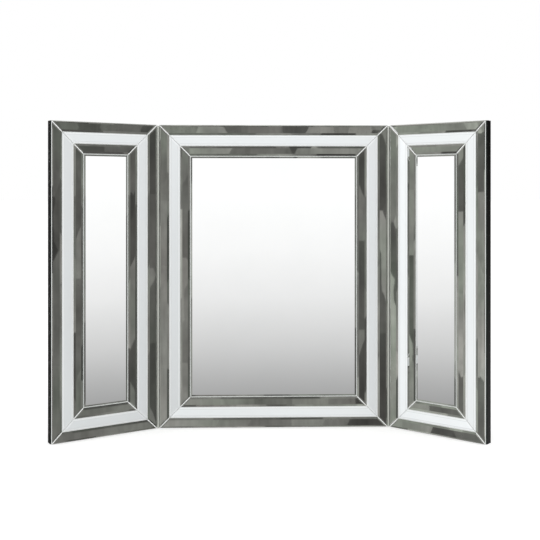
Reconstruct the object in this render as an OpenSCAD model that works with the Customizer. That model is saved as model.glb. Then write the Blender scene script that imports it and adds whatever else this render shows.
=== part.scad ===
// Three-panel dressing table mirror that stands on its own lower edge.
// Each panel is a black painted board that carries three mitred rings of
// bevelled glass strips (mirror, white, mirror) round a centre mirror plate.
// The wings turn on continuous hinges whose barrels lie at the front edge of
// the joints, so the wings open flat and also fold shut over the centre panel.
//
// Frame: +X right, +Z up, -Y is the mirrored front.
// Origin: middle of the centre board's lower edge, mid thickness.

/* [Panels] */
// Height of all three boards
panel_h = 540; // [420:10:700]
// Width of the centre board
centre_w = 408; // [340:2:520]
// Width of each wing board
wing_w = 188; // [160:2:200]
// Thickness of the boards
board_t = 15; // [12:1:20]
// Chamfer round the back of each board
board_chamfer = 1.2; // [0.5:0.1:2]
// Chamfer round the front of each board, beside the glass
board_ease = 0.4; // [0.2:0.1:0.7]

/* [Glass] */
// Thickness of every piece of glass
glass_t = 5; // [4:0.5:6]
// How far the glass stops short of the board edge
glass_inset = 0.8; // [0.5:0.1:1.5]
// From the board edge to the joint behind the outer mirror strip
outer_ring = 19; // [14:0.5:24]
// Width of the white strip with its joint
white_ring = 18; // [14:0.5:24]
// Width of the inner mirror strip on the centre panel, with its joint
inner_ring_centre = 19; // [14:0.5:24]
// Width of the inner mirror strip on a wing, with its joint
inner_ring_wing = 18; // [14:0.5:24]
// Joint between neighbouring pieces of glass
joint_gap = 0.2; // [0.2:0.1:1]
// Width of the bevel along a mirrored strip
mirror_bevel = 4.4; // [2:0.1:5]
// Width of the narrower bevel along the outer rim of each panel
rim_bevel = 2.4; // [2:0.1:5]
// Width of the bevel along both edges of a white strip
white_bevel = 3.2; // [1:0.1:5]
// Width of the bevel round a centre mirror plate
plate_bevel = 3.2; // [1:0.1:5]
// Width of the bevel at the mitred ends of every strip
mitre_bevel = 2.7; // [1:0.1:3]
// Angle at which all bevels are ground, in degrees
bevel_angle = 11; // [6:1:16]
// Width of the fine 45 degree arris on every upper rim of the glass
arris = 0.7; // [0.2:0.1:0.8]

/* [Wings] */
// How far the left wing stands forward of flat, in degrees
left_open = 31; // [0:1:90]
// How far the right wing stands forward of flat, in degrees
right_open = 38; // [0:1:90]

/* [Hinges] */
// Radius of the hinge barrel
barrel_r = 1.6; // [1.4:0.1:1.7]
// Radius of the hinge pin
pin_r = 0.8; // [0.6:0.05:0.9]
// Radial clearance between pin and knuckle
pin_play = 0.05; // [0.03:0.01:0.1]
// Thickness of a hinge leaf
leaf_t = 0.8; // [0.6:0.1:1]
// Width of a hinge leaf from the barrel axis
leaf_w = 16; // [14:0.5:18]
// Gap between the two leaves when the mirror is flat
leaf_gap = 0.5; // [0.4:0.1:0.8]
// How far the barrel axis stands in front of the glass
axis_proud = 0.6; // [0.5:0.1:1]
// Number of knuckles along one hinge
knuckles = 21; // [11:2:31]
// Number of screws in one leaf
leaf_screws = 7; // [5:1:9]

/* [Hidden] */
NODES = [
    "centre_backboard", "left_wing_backboard", "right_wing_backboard",
    "centre_mirror_plate", "left_wing_mirror_plate", "right_wing_mirror_plate",
    "centre_outer_strip_bottom", "centre_outer_strip_right", "centre_outer_strip_top", "centre_outer_strip_left",
    "centre_white_strip_bottom", "centre_white_strip_right", "centre_white_strip_top", "centre_white_strip_left",
    "centre_inner_strip_bottom", "centre_inner_strip_right", "centre_inner_strip_top", "centre_inner_strip_left",
    "left_wing_outer_strip_bottom", "left_wing_outer_strip_right", "left_wing_outer_strip_top", "left_wing_outer_strip_left",
    "left_wing_white_strip_bottom", "left_wing_white_strip_right", "left_wing_white_strip_top", "left_wing_white_strip_left",
    "left_wing_inner_strip_bottom", "left_wing_inner_strip_right", "left_wing_inner_strip_top", "left_wing_inner_strip_left",
    "right_wing_outer_strip_bottom", "right_wing_outer_strip_right", "right_wing_outer_strip_top", "right_wing_outer_strip_left",
    "right_wing_white_strip_bottom", "right_wing_white_strip_right", "right_wing_white_strip_top", "right_wing_white_strip_left",
    "right_wing_inner_strip_bottom", "right_wing_inner_strip_right", "right_wing_inner_strip_top", "right_wing_inner_strip_left",
    "left_hinge_centre_leaf", "left_hinge_wing_leaf", "left_hinge_pin",
    "right_hinge_centre_leaf", "right_hinge_wing_leaf", "right_hinge_pin",
    "left_hinge_centre_screws", "left_hinge_wing_screws",
    "right_hinge_centre_screws", "right_hinge_wing_screws"
];
node = "all";

front_y = -board_t / 2;                       // face the glass is bonded to
edge_off = leaf_t + leaf_gap / 2;             // board edge to barrel axis
axis_x = centre_w / 2 + edge_off;             // barrel axis, either side
axis_y = front_y - glass_t - axis_proud;
wing_x = axis_x + edge_off + wing_w / 2;      // middle of a wing laid flat
hinge_z0 = 2;
hinge_len = panel_h - 2 * hinge_z0;
knuckle_pitch = hinge_len / knuckles;
knuckle_gap = 0.2;
leaf_clear = barrel_r + 0.3;                  // leaf stands back from the other leaf's knuckles
screw_r = 1.2;
screw_head_r = 2.0;
screw_len = 12;
screw_y = front_y + 6;                        // screw line, from the board's front face
screw_pitch = (panel_h - 60) / (leaf_screws - 1);
far = 2 * (panel_h + centre_w);

mirror_col = [0.62, 0.65, 0.62];
plate_col = [0.86, 0.88, 0.89];
white_col = [0.95, 0.96, 0.97];
board_col = [0.05, 0.05, 0.055];
steel_col = [0.78, 0.78, 0.76];
screw_col = [0.66, 0.66, 0.64];

// ---- glass ------------------------------------------------------------

// Section drawn in YZ and run along X. u is the distance in from the edge.
module along_x(len) rotate([90, 0, 90]) translate([0, 0, -len / 2]) linear_extrude(len) children();

// One mitred strip: X along it, Y from its outer to its inner edge, Z towards the viewer.
// len is the outer edge's length between the corners, before the joint is taken off.
module mitred_strip(len, w, t, bevel_out, bevel_in) {
    z0 = rim(t, bevel_out);
    z1 = rim(t, bevel_in);
    intersection() {
        along_x(len + 2)
            polygon([[0, 0], [w, 0], [w, z1 - arris], [w - arris, z1], [w - bevel_in, t],
                [bevel_out, t], [arris, z0], [0, z0 - arris]]);
        for_end(len) end_section(t);
        mirror([1, 0, 0]) for_end(len) end_section(t);
    }
}

module for_end(len) translate([len / 2, 0, 0]) rotate([0, 0, 135]) along_x(far) children();

module end_section(t) {
    g = joint_gap / 2;
    z = rim(t, mitre_bevel);
    polygon([[g, 0], [far, 0], [far, t], [g + mitre_bevel, t], [g + arris, z], [g, z - arris]]);
}

// Where ring k (0 outer mirror, 1 white, 2 inner mirror) lies, measured from the board edge
function ring_edges(inner) = [0, outer_ring, outer_ring + white_ring, outer_ring + white_ring + inner];
function ring_from(k, e) = k == 0 ? glass_inset : e[k] + joint_gap / 2;
function ring_to(k, e) = e[k + 1] - joint_gap / 2;
// Height at which a bevel of this width ends and the arris begins
function rim(t, bevel) = t - (bevel - arris) * tan(bevel_angle);

// side 0 bottom, 1 right, 2 top, 3 left, as seen from the front
module ring_strip(k, side, w, h, e) {
    a = ring_from(k, e);
    len = (side % 2 == 0 ? w : h) - 2 * a;
    bevels = k == 1 ? [white_bevel, white_bevel] : [k == 0 ? rim_bevel : mirror_bevel, mirror_bevel];
    at = [[0, a], [w / 2 - a, h / 2], [0, h - a], [-w / 2 + a, h / 2]][side];
    color(k == 1 ? white_col : mirror_col)
        translate([0, front_y, 0]) rotate([90, 0, 0])
            translate([at[0], at[1], 0]) rotate([0, 0, 90 * side])
                mitred_strip(len, ring_to(k, e) - a, glass_t, bevels[0], bevels[1]);
}

module mirror_plate(w, h, e) {
    a = e[3] + joint_gap / 2;
    pw = w - 2 * a;
    ph = h - 2 * a;
    color(plate_col)
        translate([0, front_y, a]) rotate([90, 0, 0]) intersection() {
            along_x(pw) plate_section(ph);
            translate([-pw / 2, ph / 2, 0]) rotate([0, 0, -90]) along_x(ph) plate_section(pw);
        }
}

module plate_section(w) {
    z = rim(glass_t, plate_bevel);
    polygon([[0, 0], [w, 0], [w, z - arris], [w - arris, z], [w - plate_bevel, glass_t],
        [plate_bevel, glass_t], [arris, z], [0, z - arris]]);
}

// ---- boards -----------------------------------------------------------

// Board with chamfered edges and pilot holes for the hinge screws.
// holes is a list of -1 and 1: the sides that carry a hinge
module board(w, h, holes) {
    c = board_chamfer;
    e = board_ease;
    t = board_t;
    color(board_col) difference() {
        intersection() {
            linear_extrude(h) polygon([[-w / 2, e - t / 2], [e - w / 2, -t / 2], [w / 2 - e, -t / 2],
                [w / 2, e - t / 2], [w / 2, t / 2 - c], [w / 2 - c, t / 2], [c - w / 2, t / 2],
                [-w / 2, t / 2 - c]]);
            along_x(w) polygon([[e - t / 2, 0], [t / 2 - c, 0], [t / 2, c], [t / 2, h - c],
                [t / 2 - c, h], [e - t / 2, h], [-t / 2, h - e], [-t / 2, e]]);
        }
        for (s = holes, i = [0 : leaf_screws - 1])
            translate([s * w / 2, screw_y, 30 + i * screw_pitch]) rotate([0, -s * 90, 0])
                translate([0, 0, -1]) cylinder(h = screw_len + 1.6, r = screw_r, $fn = 32);
    }
}

// ---- hinges -----------------------------------------------------------

// One leaf with its knuckles, barrel axis on Z at the origin.
// s is the side its board lies on, first is the first knuckle it owns.
// play is the radial room round the pin: none where the leaf grips it.
module leaf(s, first, play) {
    x0 = leaf_gap / 2;
    color(steel_col) difference() {
        union() {
            translate([s > 0 ? x0 : -x0 - leaf_t, leaf_clear, 0])
                cube([leaf_t, leaf_w - leaf_clear, hinge_len]);
            for (i = [first : 2 : knuckles - 1])
                translate([0, 0, i * knuckle_pitch + knuckle_gap / 2]) {
                    cylinder(h = knuckle_pitch - knuckle_gap, r = barrel_r, $fn = 48);
                    translate([s > 0 ? x0 : -x0 - leaf_t, 0, 0])
                        cube([leaf_t, leaf_clear + 1, knuckle_pitch - knuckle_gap]);
                }
        }
        translate([0, 0, -1]) cylinder(h = hinge_len + 2, r = pin_r + play, $fn = 32);
        for (i = [0 : leaf_screws - 1])
            translate([s * x0, screw_y - axis_y, 30 - hinge_z0 + i * screw_pitch]) rotate([0, s * 90, 0]) {
                cylinder(h = leaf_t, r1 = screw_head_r + 0.03, r2 = screw_r + 0.03, $fn = 32);
                translate([0, 0, -1]) cylinder(h = leaf_t + 2, r = screw_r + 0.03, $fn = 32);
            }
    }
}

// Pin with a small peened head on each end knuckle
module pin() {
    lo = knuckle_gap / 2;
    hi = hinge_len - knuckle_gap / 2;
    color(steel_col) rotate_extrude($fn = 40)
        polygon([[0, lo - 0.8], [0.9, lo - 0.8], [1.25, lo - 0.4], [1.25, lo], [pin_r, lo],
            [pin_r, hi], [1.25, hi], [1.25, hi + 0.4], [0.9, hi + 0.8], [0, hi + 0.8]]);
}

// Countersunk screws of one leaf, driven towards side s
module screws(s) {
    for (i = [0 : leaf_screws - 1])
        color(screw_col)
            translate([s * leaf_gap / 2, screw_y - axis_y, 30 - hinge_z0 + i * screw_pitch])
                rotate([0, s * 90, 0]) difference() {
                    rotate_extrude($fn = 32)
                        polygon([[0, 0], [screw_head_r, 0], [screw_r, leaf_t], [screw_r, screw_len - 1.5],
                            [0.25, screw_len], [0, screw_len]]);
                    for (a = [0, 90]) rotate([0, 0, a + 45])
                        translate([-1.15, -0.25, -0.5]) cube([2.3, 0.5, 1.0]);
                }
}

// ---- placing ----------------------------------------------------------

module on_axis(side) translate([side * axis_x, axis_y, hinge_z0]) children();

// Turns what is drawn flat about the barrel axis of that side
module turned(side) {
    translate([side * axis_x, axis_y, 0]) rotate([0, 0, side < 0 ? left_open : -right_open])
        translate([-side * axis_x, -axis_y, 0]) children();
}

module wing(side) turned(side) translate([side * wing_x, 0, 0]) children();

function named(s) = node == "all" || node == s;
centre_edges = ring_edges(inner_ring_centre);
wing_edges = ring_edges(inner_ring_wing);
SIDES = ["bottom", "right", "top", "left"];
RINGS = ["outer", "white", "inner"];

if (named("centre_backboard")) board(centre_w, panel_h, [-1, 1]);
if (named("left_wing_backboard")) wing(-1) board(wing_w, panel_h, [1]);
if (named("right_wing_backboard")) wing(1) board(wing_w, panel_h, [-1]);

if (named("centre_mirror_plate")) mirror_plate(centre_w, panel_h, centre_edges);
if (named("left_wing_mirror_plate")) wing(-1) mirror_plate(wing_w, panel_h, wing_edges);
if (named("right_wing_mirror_plate")) wing(1) mirror_plate(wing_w, panel_h, wing_edges);

for (k = [0 : 2], s = [0 : 3]) {
    if (named(str("centre_", RINGS[k], "_strip_", SIDES[s]))) ring_strip(k, s, centre_w, panel_h, centre_edges);
    if (named(str("left_wing_", RINGS[k], "_strip_", SIDES[s]))) wing(-1) ring_strip(k, s, wing_w, panel_h, wing_edges);
    if (named(str("right_wing_", RINGS[k], "_strip_", SIDES[s]))) wing(1) ring_strip(k, s, wing_w, panel_h, wing_edges);
}

if (named("left_hinge_centre_leaf")) on_axis(-1) leaf(1, 0, 0);
if (named("left_hinge_wing_leaf")) turned(-1) on_axis(-1) leaf(-1, 1, pin_play);
if (named("left_hinge_pin")) on_axis(-1) pin();
if (named("right_hinge_centre_leaf")) on_axis(1) leaf(-1, 0, 0);
if (named("right_hinge_wing_leaf")) turned(1) on_axis(1) leaf(1, 1, pin_play);
if (named("right_hinge_pin")) on_axis(1) pin();

if (named("left_hinge_centre_screws")) on_axis(-1) screws(1);
if (named("left_hinge_wing_screws")) turned(-1) on_axis(-1) screws(-1);
if (named("right_hinge_centre_screws")) on_axis(1) screws(-1);
if (named("right_hinge_wing_screws")) turned(1) on_axis(1) screws(1);
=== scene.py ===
import math
import bpy
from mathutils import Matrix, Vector

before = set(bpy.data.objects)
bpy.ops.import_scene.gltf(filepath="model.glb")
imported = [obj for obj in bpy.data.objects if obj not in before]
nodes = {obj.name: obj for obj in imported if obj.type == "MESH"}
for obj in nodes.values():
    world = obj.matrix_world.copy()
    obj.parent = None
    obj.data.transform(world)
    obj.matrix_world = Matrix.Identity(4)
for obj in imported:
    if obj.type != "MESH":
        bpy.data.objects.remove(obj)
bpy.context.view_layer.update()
scene = bpy.context.scene

LEFT_OPEN, RIGHT_OPEN = math.radians(31), math.radians(38)
BOARD_T, GLASS_T, HEIGHT = 0.015, 0.005, 0.540


# ---------------------------------------------------------------- node helper
class Tree:
    """Builds shader nodes from short expressions. A value is a socket, a number or a tuple."""

    def __init__(self, tree):
        self.t = tree
        self.t.nodes.clear()

    def node(self, kind, **props):
        n = self.t.nodes.new(kind)
        for k, v in props.items():
            setattr(n, k, v)
        return n

    def put(self, socket, value):
        if isinstance(value, bpy.types.NodeSocket):
            self.t.links.new(value, socket)
        elif value is not None:
            if isinstance(value, (tuple, list, Vector)):
                value = tuple(value)
                n = len(socket.default_value)
                socket.default_value = (value + (1.0,) * n)[:n]
            else:
                socket.default_value = value

    def math(self, op, a, b=None, c=None, clamp=False):
        n = self.node("ShaderNodeMath", operation=op, use_clamp=clamp)
        for i, v in enumerate((a, b, c)):
            if v is not None:
                self.put(n.inputs[i], v)
        return n.outputs[0]

    def add(self, a, b): return self.math("ADD", a, b)
    def sub(self, a, b): return self.math("SUBTRACT", a, b)
    def mul(self, a, b): return self.math("MULTIPLY", a, b)
    def div(self, a, b): return self.math("DIVIDE", a, b)
    def clamp(self, a): return self.math("ADD", a, 0.0, clamp=True)

    def vec(self, op, a, b=None):
        n = self.node("ShaderNodeVectorMath", operation=op)
        self.put(n.inputs[0], a)
        if b is not None:
            self.put(n.inputs[1], b)
        return n.outputs["Value"] if op in ("DOT_PRODUCT", "LENGTH", "DISTANCE") else n.outputs[0]

    def xyz(self, x=0.0, y=0.0, z=0.0):
        n = self.node("ShaderNodeCombineXYZ")
        for i, v in enumerate((x, y, z)):
            self.put(n.inputs[i], v)
        return n.outputs[0]

    def split(self, v):
        n = self.node("ShaderNodeSeparateXYZ")
        self.put(n.inputs[0], v)
        return n.outputs

    def noise(self, vector, scale=1.0, detail=2.0, rough=0.5, dims="3D"):
        n = self.node("ShaderNodeTexNoise", noise_dimensions=dims)
        self.put(n.inputs["Vector"], vector)
        n.inputs["Scale"].default_value = scale
        n.inputs["Detail"].default_value = detail
        n.inputs["Roughness"].default_value = rough
        return n.outputs["Fac"]

    def cells(self, vector, scale=1.0, randomness=1.0, distance="CHEBYCHEV"):
        n = self.node("ShaderNodeTexVoronoi", voronoi_dimensions="2D", feature="F1", distance=distance)
        self.put(n.inputs["Vector"], vector)
        n.inputs["Scale"].default_value = scale
        n.inputs["Randomness"].default_value = randomness
        return n

    def ramp(self, fac, stops, mode="LINEAR"):
        n = self.node("ShaderNodeValToRGB")
        r = n.color_ramp
        r.interpolation = mode
        while len(r.elements) > 1:
            r.elements.remove(r.elements[-1])
        for i, (p, c) in enumerate(stops):
            e = r.elements[0] if i == 0 else r.elements.new(p)
            e.position = p
            c = (c, c, c) if isinstance(c, (int, float)) else c
            e.color = tuple(c) + (1.0,)
        self.put(n.inputs[0], fac)
        return n.outputs[0]

    def span(self, v, a, b, c=0.0, d=1.0, smooth=True):
        n = self.node("ShaderNodeMapRange", interpolation_type="SMOOTHSTEP" if smooth else "LINEAR")
        self.put(n.inputs["Value"], v)
        for k, x in (("From Min", a), ("From Max", b), ("To Min", c), ("To Max", d)):
            self.put(n.inputs[k], x)
        return n.outputs[0]

    def mix(self, fac, a, b, blend="MIX"):
        n = self.node("ShaderNodeMix", data_type="RGBA", blend_type=blend, clamp_factor=True)
        self.put(n.inputs[0], fac)
        self.put(n.inputs[6], a)
        self.put(n.inputs[7], b)
        return n.outputs[2]

    def bump(self, height, strength, distance, normal=None):
        n = self.node("ShaderNodeBump")
        n.inputs["Strength"].default_value = strength
        n.inputs["Distance"].default_value = distance
        self.put(n.inputs["Height"], height)
        if normal is not None:
            self.put(n.inputs["Normal"], normal)
        return n.outputs[0]

    def object_point(self):
        return self.node("ShaderNodeTexCoord").outputs["Object"]

    def object_normal(self):
        return self.node("ShaderNodeTexCoord").outputs["Normal"]

    def surface(self, **inputs):
        p = self.node("ShaderNodeBsdfPrincipled")
        for k, v in inputs.items():
            self.put(p.inputs[k.replace("_", " ")], v)
        out = self.node("ShaderNodeOutputMaterial")
        self.t.links.new(p.outputs[0], out.inputs[0])
        return p


def material(name):
    m = bpy.data.materials.new(name)
    m.use_nodes = True
    return m, Tree(m.node_tree)


def dress(node_name, mat):
    me = nodes[node_name].data
    if len(me.materials) == 0:
        me.materials.append(mat)
    for i in range(len(me.materials)):
        me.materials[i] = mat


# ---------------------------------------------------------------- panel frames
AXIS_X, AXIS_Y, WING_MID = 0.20505, -0.0131, 0.09505   # hinge axes, and axis to the wing's middle
FACE = -(BOARD_T / 2 + GLASS_T)                          # plane of the glass, panel laid flat
HALF = {"centre": 0.204, "left_wing": 0.094, "right_wing": 0.094}
TURN = {"centre": 0.0, "left_wing": LEFT_OPEN, "right_wing": -RIGHT_OPEN}


def turned(v, a):
    return Vector((v[0] * math.cos(a) - v[1] * math.sin(a), v[0] * math.sin(a) + v[1] * math.cos(a), v[2]))


def panel_point(panel, u, v):
    """A point of the glass: u to the viewer's right of the panel's middle, v above the table, in metres."""
    if panel == "centre":
        return Vector((u, FACE, v))
    s = -1 if panel == "left_wing" else 1
    return turned((s * WING_MID + u, FACE - AXIS_Y, v), TURN[panel]) + Vector((s * AXIS_X, AXIS_Y, 0))


PANELS = {}
for panel, a in TURN.items():
    PANELS[panel] = {
        "right": turned((1, 0, 0), a),    # to the viewer's right, along the panel
        "front": turned((0, -1, 0), a),   # out of the glass
        "up": Vector((0, 0, 1)),
        "mid": panel_point(panel, 0.0, HEIGHT / 2),
    }


# ---------------------------------------------------------------- glass
def panel_uv(t, panel):
    """Distance right of and above the panel's middle, in metres."""
    f = PANELS[panel]
    p = t.vec("SUBTRACT", t.object_point(), tuple(f["mid"]))
    return t.vec("DOT_PRODUCT", p, tuple(f["right"])), t.vec("DOT_PRODUCT", p, tuple(f["up"]))


def facing(t, panel):
    """1 on the flat of the glass, 0.98 on the bevels, 0.7 on the fine ground arris, 0 on the side walls."""
    return t.vec("DOT_PRODUCT", t.object_normal(), tuple(PANELS[panel]["front"]))


def edge_masks(t, out):
    bevel = t.span(out, 0.9995, 0.992, smooth=False)
    ground = t.span(out, 0.90, 0.80, smooth=False)
    wall = t.span(out, 0.45, 0.35, smooth=False)
    return bevel, ground, wall


GROUND = (0.86, 0.875, 0.865)      # finely ground arris
PLATE_GROUND_SHADED = (0.62, 0.635, 0.625)  # the same round the plates, painted darker as shade
WALL = (0.60, 0.67, 0.63)          # polished side of the glass
DARK_WALL = (0.045, 0.060, 0.052)  # the same where the paint of the back comes round the rim
OUTWARD = {"left": ("right", -1), "right": ("right", 1), "top": ("up", 1), "bottom": ("up", -1)}
LONG = {"left": "up", "right": "up", "top": "right", "bottom": "right"}


def rim_mask(t, panel, side):
    """1 on the arris and wall that face away from the panel's middle."""
    axis, sign = OUTWARD[side]
    away = tuple(sign * c for c in PANELS[panel][axis])
    return t.span(t.vec("DOT_PRODUCT", t.object_normal(), away), 0.35, 0.60, smooth=False)


def mitre_mask(t, panel, side):
    """1 on the arris and wall of the mitred ends."""
    along = t.vec("DOT_PRODUCT", t.object_normal(), tuple(PANELS[panel][LONG[side]]))
    return t.span(t.math("ABSOLUTE", along), 0.25, 0.40, smooth=False)


def strip_mirror(node_name, panel, side, ring, seed):
    m, t = material("mirror_" + node_name)
    u, v = panel_uv(t, panel)
    s, w = (u, v) if side in ("top", "bottom") else (v, u)      # along and across the strip
    out = facing(t, panel)
    bevel, ground, wall = edge_masks(t, out)
    # silvering: a slow drift of tint along the strip, fine mottle and a few pinhole marks
    drift = t.noise(t.xyz(t.mul(s, 9.0), t.mul(w, 30.0), seed), detail=3.0)
    fine = t.noise(t.xyz(t.mul(s, 70.0), t.mul(w, 240.0), seed + 7.3), detail=4.0, rough=0.6)
    tone = t.add(t.mul(drift, 0.7), t.mul(fine, 0.3))
    colour = t.ramp(tone, [(0.28, (0.755, 0.765, 0.760)), (0.72, (0.830, 0.838, 0.832))])
    holes = t.cells(t.xyz(t.mul(s, 150.0), t.mul(w, 150.0), 0.0), randomness=1.0, distance="EUCLIDEAN")
    hole = t.mul(t.span(holes.outputs["Distance"], 0.075, 0.045), t.span(drift, 0.60, 0.66))
    colour = t.mix(t.mul(hole, 0.7), colour, (0.10, 0.11, 0.10))
    # painted highlight: the bevel is tinted a touch paler than the flat
    colour = t.mix(t.mul(bevel, 0.35), colour, (0.86, 0.88, 0.87))
    if ring == "outer":
        # on the rim of the panel the arris stays silvered, but for the two far sides of the wings
        rim = rim_mask(t, panel, side)
        open_side = (panel, side) in (("left_wing", "left"), ("right_wing", "right"))
        if not open_side:
            ground = t.mul(ground, t.sub(1.0, t.mul(rim, 0.9)))
        side_wall = t.mix(rim, WALL, DARK_WALL)
    else:
        side_wall = WALL
    # painted highlight: the arris and wall at the mitred ends are paler than along the strip
    cut = mitre_mask(t, panel, side)
    colour = t.mix(ground, colour, t.mix(cut, GROUND, (0.96, 0.97, 0.965)))
    colour = t.mix(wall, colour, t.mix(cut, side_wall, (0.86, 0.89, 0.87)))
    rough = t.add(0.010, t.mul(fine, 0.012))
    rough = t.add(rough, t.mul(ground, 0.30))
    # glass is never quite flat: a long faint wave, stronger on the ground bevels
    wave = t.noise(t.xyz(t.mul(s, 14.0), t.mul(w, 26.0), seed + 3.1), detail=1.0)
    t.surface(Base_Color=colour, Metallic=t.sub(1.0, t.mul(ground, 0.92)), Roughness=rough,
              Coat_Weight=0.25, Coat_Roughness=0.02, Coat_IOR=1.5,
              Normal=t.bump(wave, 0.08, 0.0006))
    dress(node_name, m)


def plate_mirror(node_name, panel):
    m, t = material("mirror_" + node_name)
    out = facing(t, panel)
    bevel, ground, wall = edge_masks(t, out)
    p = t.object_point()
    cloud = t.noise(p, scale=14.0, detail=4.0, rough=0.55)
    colour = t.ramp(cloud, [(0.3, (0.945, 0.952, 0.950)), (0.7, (0.965, 0.970, 0.968))])
    # painted shade: the plate's bevel and its ground arris are tinted darker than the flat and the strips' arris
    colour = t.mix(bevel, colour, (0.82, 0.84, 0.84))
    colour = t.mix(ground, colour, PLATE_GROUND_SHADED)
    colour = t.mix(wall, colour, WALL)
    rough = t.add(t.mul(ground, 0.30), t.mul(bevel, 0.016))
    t.surface(Base_Color=colour, Metallic=t.sub(1.0, t.mul(ground, 0.92)), Roughness=rough)
    dress(node_name, m)


# painted light and shade: brightness of each white strip, lighter or darker by how the light falls on it, at its
# lower or left end and at its upper or right end
WHITE_PAINTED_SHADE = {
    ("left_wing", "left"): (0.675, 0.695), ("left_wing", "right"): (0.67, 0.75),
    ("left_wing", "top"): (0.77, 0.78), ("left_wing", "bottom"): (0.70, 0.69),
    ("centre", "left"): (0.65, 0.76), ("centre", "right"): (0.69, 0.735),
    ("centre", "top"): (0.79, 0.78), ("centre", "bottom"): (0.81, 0.82),
    ("right_wing", "left"): (0.90, 0.92), ("right_wing", "right"): (0.83, 0.83),
    ("right_wing", "top"): (0.85, 0.84), ("right_wing", "bottom"): (0.90, 0.90),
}
RING = {"white": (0.019, 0.037)}     # joints on either side of the white strips, from the board's edge
WHITE_BEVEL = 0.0032


def white_glass(node_name, panel, side, seed):
    m, t = material("white_" + node_name)
    u, v = panel_uv(t, panel)
    s, w = (u, v) if side in ("top", "bottom") else (v, u)
    out = facing(t, panel)
    bevel, ground, wall = edge_masks(t, out)
    half = HEIGHT / 2 if side in ("left", "right") else HALF[panel]
    lo, hi = WHITE_PAINTED_SHADE[(panel, side)]
    drift = t.noise(t.xyz(t.mul(s, 6.0), t.mul(w, 12.0), seed), detail=2.0)
    # painted light and shade ramped along the strip between its two end values, with a faint random drift
    tone = t.add(t.span(s, -half, half, lo, hi, smooth=False), t.mul(t.sub(drift, 0.5), 0.05))
    colour = t.mix(1.0, (0.966, 1.0, 1.014), tone, "MULTIPLY")
    # the ridge between flat and bevel shows as a fine grey line, and the bevels carry a painted highlight, a little
    # paler than the flat
    reach = HALF[panel] if side in ("left", "right") else HEIGHT / 2
    d = t.sub(reach, t.math("ABSOLUTE", w))
    lines = None
    for at in (RING["white"][0] + WHITE_BEVEL, RING["white"][1] - WHITE_BEVEL):
        off = t.math("ABSOLUTE", t.sub(d, at))
        line = t.span(off, 0.0007, 0.0002)
        lines = line if lines is None else t.math("MAXIMUM", lines, line)
    # painted highlight on the bevels
    colour = t.mix(t.mul(bevel, 0.30), colour, (0.93, 0.94, 0.945))
    colour = t.mix(t.mul(lines, 0.55), colour, (0.55, 0.57, 0.57))
    cut = mitre_mask(t, panel, side)
    colour = t.mix(t.mul(ground, 0.8), colour, t.mix(cut, (0.86, 0.875, 0.88), (0.70, 0.72, 0.72)))
    colour = t.mix(wall, colour, t.mix(cut, (0.62, 0.70, 0.66), (0.55, 0.58, 0.57)))
    ripple = t.noise(t.object_point(), scale=45.0, detail=2.0)
    t.surface(Base_Color=colour, Roughness=t.add(0.30, t.mul(ripple, 0.08)),
              Coat_Weight=1.0, Coat_Roughness=0.02, Coat_IOR=1.5,
              Normal=t.bump(ripple, 0.02, 0.0005))
    dress(node_name, m)


# ---------------------------------------------------------------- boards and metal
def board_paint():
    m, t = material("black_board")
    p = t.object_point()
    x, y, z = t.split(p)
    stipple = t.noise(p, scale=1300.0, detail=2.0, rough=0.5)       # left by the roller
    wave = t.noise(p, scale=28.0, detail=4.0, rough=0.55)
    fibre = t.noise(t.xyz(t.mul(x, 160.0), t.mul(y, 160.0), t.mul(z, 9.0)), detail=3.0, rough=0.6)
    colour = t.ramp(t.add(t.mul(wave, 0.6), t.mul(fibre, 0.4)), [(0.32, (0.0105, 0.0105, 0.0110)), (0.68, (0.0175, 0.0175, 0.0180))])
    # paint rubbed thin along the upper and lower arrises of the boards
    lip = t.math("MAXIMUM", t.span(z, 0.5375, 0.5395), t.span(z, 0.0025, 0.0005))
    patch = t.noise(t.xyz(t.mul(x, 60.0), t.mul(y, 60.0), t.mul(z, 60.0)), detail=3.0)
    colour = t.mix(t.mul(t.mul(lip, t.span(patch, 0.50, 0.66)), 0.30), colour, (0.10, 0.09, 0.075))
    # dust and small chips on the left wing's outer edge, where the board is handled most
    f = PANELS["left_wing"]
    across = t.vec("DOT_PRODUCT", p, tuple(f["front"]))
    dust = t.cells(t.xyz(t.mul(across, 330.0), t.mul(z, 230.0), 0.0), randomness=1.0, distance="EUCLIDEAN")
    pick = t.split(dust.outputs["Color"])[0]
    speck = t.mul(t.span(dust.outputs["Distance"], 0.26, 0.10), t.span(pick, 0.84, 0.87))
    edge = t.span(t.vec("DOT_PRODUCT", t.object_normal(), tuple(-1 * f["right"])), 0.90, 0.97, smooth=False)
    colour = t.mix(t.mul(t.mul(speck, edge), 0.65), colour, (0.50, 0.50, 0.49))
    # painted light: the right wing's outer edge is painted greyer towards the table, for light thrown up from the
    # floor
    edge = t.span(t.vec("DOT_PRODUCT", t.object_normal(), tuple(PANELS["right_wing"]["right"])), 0.90, 0.97, smooth=False)
    painted_floor_light = t.ramp(t.add(t.mul(z, 1.6), t.mul(fibre, 0.2)), [(0.05, (0.036, 0.036, 0.037)), (0.50, (0.016, 0.016, 0.016)), (0.90, (0.005, 0.005, 0.005))])
    colour = t.mix(edge, colour, painted_floor_light)
    t.surface(Base_Color=colour, Roughness=t.add(0.40, t.mul(wave, 0.22)), Specular_IOR_Level=0.16,
              Normal=t.bump(stipple, 0.10, 0.0003))
    return m


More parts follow.
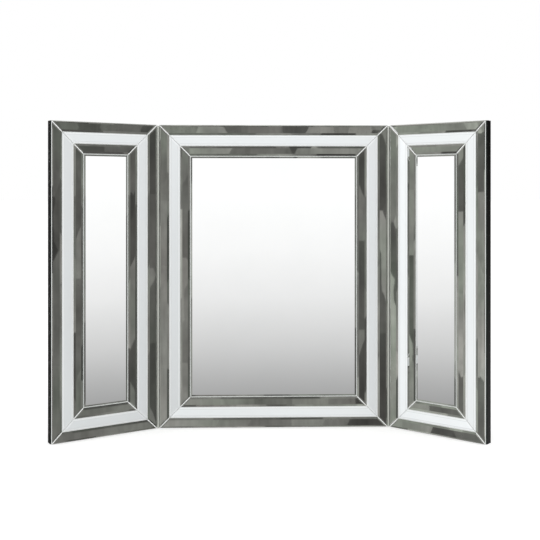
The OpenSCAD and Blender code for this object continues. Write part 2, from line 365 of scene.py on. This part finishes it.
def nickel(name, tint, metal, seed):
    m, t = material(name)
    p = t.object_point()
    x, y, z = t.split(p)
    brush = t.noise(t.xyz(t.mul(x, 1400.0), t.mul(y, 1400.0), t.mul(z, 25.0)), detail=2.0)
    dull = t.noise(t.vec("ADD", p, (seed, seed, seed)), scale=30.0, detail=4.0)
    colour = t.mix(t.mul(t.span(dull, 0.45, 0.8), 0.3), tint, tuple(c * 0.72 for c in tint))
    t.surface(Base_Color=colour, Metallic=metal, Roughness=t.add(0.26, t.mul(brush, 0.10)),
              Normal=t.bump(brush, 0.03, 0.0001))
    return m


SIDES = ("bottom", "right", "top", "left")
seed = 1.0
for panel in PANELS:
    for ring in ("outer", "white", "inner"):
        for side in SIDES:
            seed += 3.17
            name = f"{panel}_{ring}_strip_{side}"
            if ring == "white":
                white_glass(name, panel, side, seed)
            else:
                strip_mirror(name, panel, side, ring, seed)
    plate_mirror(f"{panel}_mirror_plate", panel)

black = board_paint()
for panel in PANELS:
    dress(f"{panel}_backboard", black)
leaf_metal = nickel("hinge_nickel", (0.74, 0.76, 0.71), 0.45, 3.0)
screw_metal = nickel("screw_zinc", (0.46, 0.44, 0.38), 1.0, 9.0)
for side in ("left", "right"):
    for part in ("centre_leaf", "wing_leaf", "pin"):
        dress(f"{side}_hinge_{part}", leaf_metal)
    for part in ("centre_screws", "wing_screws"):
        dress(f"{side}_hinge_{part}", screw_metal)


# ---------------------------------------------------------------- studio
# Stand of the camera, and the dim studio that the bevelled strips look out on.
CAMERA = Vector((0.03204, -1.56303, 0.42044))


def studio_world():
    w = bpy.data.worlds.new("studio")
    scene.world = w
    w.use_nodes = True
    w.cycles.sampling_method = "NONE"
    t = Tree(w.node_tree)
    d = t.node("ShaderNodeTexCoord").outputs["Generated"]
    x, y, z = t.split(d)
    az = t.mul(t.math("ARCTAN2", x, t.mul(y, -1.0)), 180 / math.pi)   # 0 in front of the mirror
    el = t.mul(t.math("ARCSINE", z), 180 / math.pi)

    # seen in the mirror plates: a clean sweep, pale above and greyer towards the table
    sweep = t.ramp(t.span(el, -60.0, 20.0, smooth=False), [
        (0.00, 0.62), (0.30, 0.50), (0.50, 0.37), (0.565, 0.335), (0.5825, 0.385), (0.5963, 0.465), (0.6238, 0.645),
        (0.66375, 0.86), (0.70375, 0.985), (0.745, 1.05), (1.0, 1.06)], "LINEAR")

    # seen in the bevelled strips and the metal: a dim studio of soft blocks
    blocks = t.cells(t.xyz(t.mul(az, 0.42), t.mul(el, 0.19), 0.0), randomness=0.9)
    shade = t.split(blocks.outputs["Color"])[0]
    haze = t.noise(t.xyz(t.mul(az, 0.30), t.mul(el, 0.22), 2.0), detail=4.0, rough=0.6)
    level = t.ramp(t.span(az, -180.0, 180.0, smooth=False), [
        (0.0, 0.30), (0.10, 0.25), (0.13, 0.04), (0.17, 0.04), (0.22, 0.25), (0.35, 0.30), (0.5, 0.22),
        (0.66, 0.14), (0.76, 0.22), (0.82, 0.04), (0.87, 0.04), (0.92, 0.25), (1.0, 0.30)])
    dim = t.mul(level, t.mul(t.add(0.30, t.mul(shade, 1.25)), t.add(0.25, t.mul(haze, 1.4))))
    dim = t.add(dim, t.mul(t.span(el, 27.0, 45.0), t.add(0.35, t.mul(shade, 0.5))))
    dim = t.add(dim, t.mul(t.span(el, -38.0, -60.0), t.add(0.07, t.mul(haze, 0.22))))
    warm = t.noise(t.xyz(t.mul(az, 0.11), t.mul(el, 0.13), 8.0), detail=2.0)
    tint = t.ramp(warm, [(0.35, (0.93, 1.0, 0.86)), (0.5, (1.0, 1.0, 0.92)), (0.65, (1.0, 0.97, 0.90))])
    colour = t.mix(1.0, tint, t.ramp(dim, [(0.0, 0.0), (1.0, 1.0)]), "MULTIPLY")

    # folds, grain and soft unevenness over all of it
    folds = t.noise(t.xyz(t.mul(az, 5.0), t.mul(el, 0.35), 4.0), detail=3.0, rough=0.6)
    grain = t.noise(t.xyz(t.mul(az, 1.3), t.mul(el, 1.1), 9.0), detail=3.0, rough=0.65)
    colour = t.mix(1.0, colour, t.mul(t.add(0.72, t.mul(folds, 0.56)), t.add(0.80, t.mul(grain, 0.40))), "MULTIPLY")

    def light(c):
        bg = t.node("ShaderNodeBackground")
        t.put(bg.inputs[0], c)
        bg.inputs[1].default_value = 1.0
        return bg.outputs[0]

    def choose(fac, a, b):
        m = t.node("ShaderNodeMixShader")
        t.put(m.inputs[0], fac)
        t.put(m.inputs[1], a)
        t.put(m.inputs[2], b)
        return m.outputs[0]

    path = t.node("ShaderNodeLightPath")
    lit = choose(path.outputs["Is Glossy Ray"], light((1.0, 1.0, 1.0)), light(colour))
    lit = choose(path.outputs["Is Singular Ray"], lit, light(sweep))
    lit = choose(path.outputs["Is Camera Ray"], lit, light((1.0, 1.0, 1.0)))
    out = t.node("ShaderNodeOutputWorld")
    t.t.links.new(lit, out.inputs[0])


studio_world()


def floor():
    me = bpy.data.meshes.new("floor")
    r, n = 40.0, 96
    verts = [(0.0, 0.0, 0.0)] + [(r * math.cos(i * 2 * math.pi / n), r * math.sin(i * 2 * math.pi / n), 0.0) for i in range(n)]
    me.from_pydata(verts, [], [(0, i + 1, (i + 1) % n + 1) for i in range(n)])
    o = bpy.data.objects.new("floor", me)
    scene.collection.objects.link(o)
    m, t = material("pale_floor")
    p = t.object_point()
    grain = t.noise(p, scale=700.0, detail=3.0)
    colour = t.ramp(grain, [(0.3, (0.70, 0.70, 0.70)), (0.7, (0.73, 0.73, 0.73))])
    t.surface(Base_Color=colour, Roughness=0.9, Specular_IOR_Level=0.1,
              Emission_Color=(1.0, 1.0, 1.0), Emission_Strength=0.40)
    me.materials.append(m)
    o.visible_glossy = False


floor()


def softbox(name, loc, aim, size, power):
    li = bpy.data.lights.new(name, "AREA")
    li.shape = "RECTANGLE"
    li.size, li.size_y = size
    li.energy = power
    o = bpy.data.objects.new(name, li)
    o.location = loc
    o.rotation_euler = (Vector(aim) - Vector(loc)).to_track_quat("-Z", "Y").to_euler()
    o.visible_glossy = False
    scene.collection.objects.link(o)
    return o


softbox("top_soft", (0.0, -0.6, 2.4), (0.0, 0.0, 0.3), (2.4, 1.4), 14.0)
softbox("left_soft", (-2.6, -1.6, 1.4), (0.0, 0.0, 0.3), (1.2, 1.6), 6.0)

# ---------------------------------------------------------------- camera
cam_data = bpy.data.cameras.new("camera")
cam = bpy.data.objects.new("camera", cam_data)
scene.collection.objects.link(cam)
cam.location = CAMERA
cam.rotation_euler = (math.radians(90), 0.0, math.radians(-1.443))
cam_data.sensor_width = 36.0
cam_data.lens = 57.902
cam_data.shift_x = -0.0806
cam_data.shift_y = -0.1444
cam_data.clip_start, cam_data.clip_end = 0.05, 200.0
scene.camera = cam
scene.view_settings.view_transform = "Standard"
